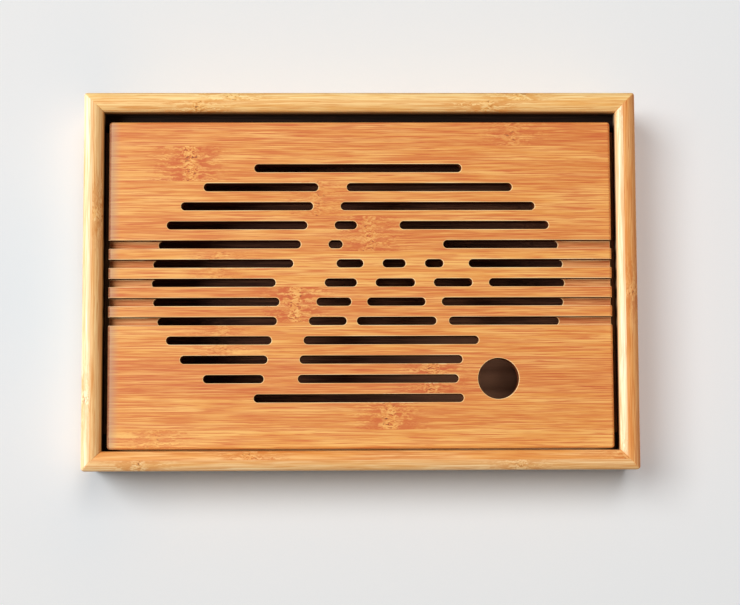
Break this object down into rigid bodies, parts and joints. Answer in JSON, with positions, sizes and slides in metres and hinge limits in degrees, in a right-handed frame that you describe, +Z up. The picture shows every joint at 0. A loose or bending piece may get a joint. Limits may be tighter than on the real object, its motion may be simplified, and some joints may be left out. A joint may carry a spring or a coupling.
{
  "type": "gongfu tea tray",
  "caption": "Rectangular bamboo tea tray with a slotted lift-off top board in a mitred round-top frame, over a water drawer that pulls out at the front.",
  "frame": {"origin": "centre of the tray in plan, at the level of the surface that its feet stand on", "axes": "+X along the long side towards the finger hole, +Z up, front with the drawer on -Y"},
  "size_m": [0.38, 0.26, 0.065],
  "materials": {
    "natural_bamboo": "clear satin lacquer",
    "carbonised_bamboo": "clear satin lacquer",
    "inner_bamboo": "sealed matt",
    "foot_rubber": "matt",
    "screw_steel": "zinc plated"
  },
  "bodies": {
    "carcass": {"front_rail": "natural_bamboo", "back_rail": "natural_bamboo", "left_rail": "natural_bamboo", "right_rail": "natural_bamboo", "base_board": "inner_bamboo", "front_ledge": "inner_bamboo", "back_ledge": "inner_bamboo", "left_ledge": "inner_bamboo", "right_ledge": "inner_bamboo", "left_guide": "inner_bamboo", "right_guide": "inner_bamboo", "drawer_stops": "inner_bamboo", "front_left_foot": "foot_rubber", "front_right_foot": "foot_rubber", "back_left_foot": "foot_rubber", "back_right_foot": "foot_rubber", "foot_screws": "screw_steel"},
    "top_board": {"slotted_panel": "carbonised_bamboo"},
    "drawer": {"drawer_front": "natural_bamboo", "drawer_left_side": "inner_bamboo", "drawer_right_side": "inner_bamboo", "drawer_back": "inner_bamboo", "drawer_floor": "inner_bamboo"}
  },
  "joints": [
    {"name": "board_lift", "type": "slide", "parent": "carcass", "child": "top_board", "axis": [0, 0, 1], "range_m": [0, 0.06]},
    {"name": "drawer_pull", "type": "slide", "parent": "carcass", "child": "drawer", "axis": [0, -1, 0], "range_m": [0, 0.25]}
  ]
}
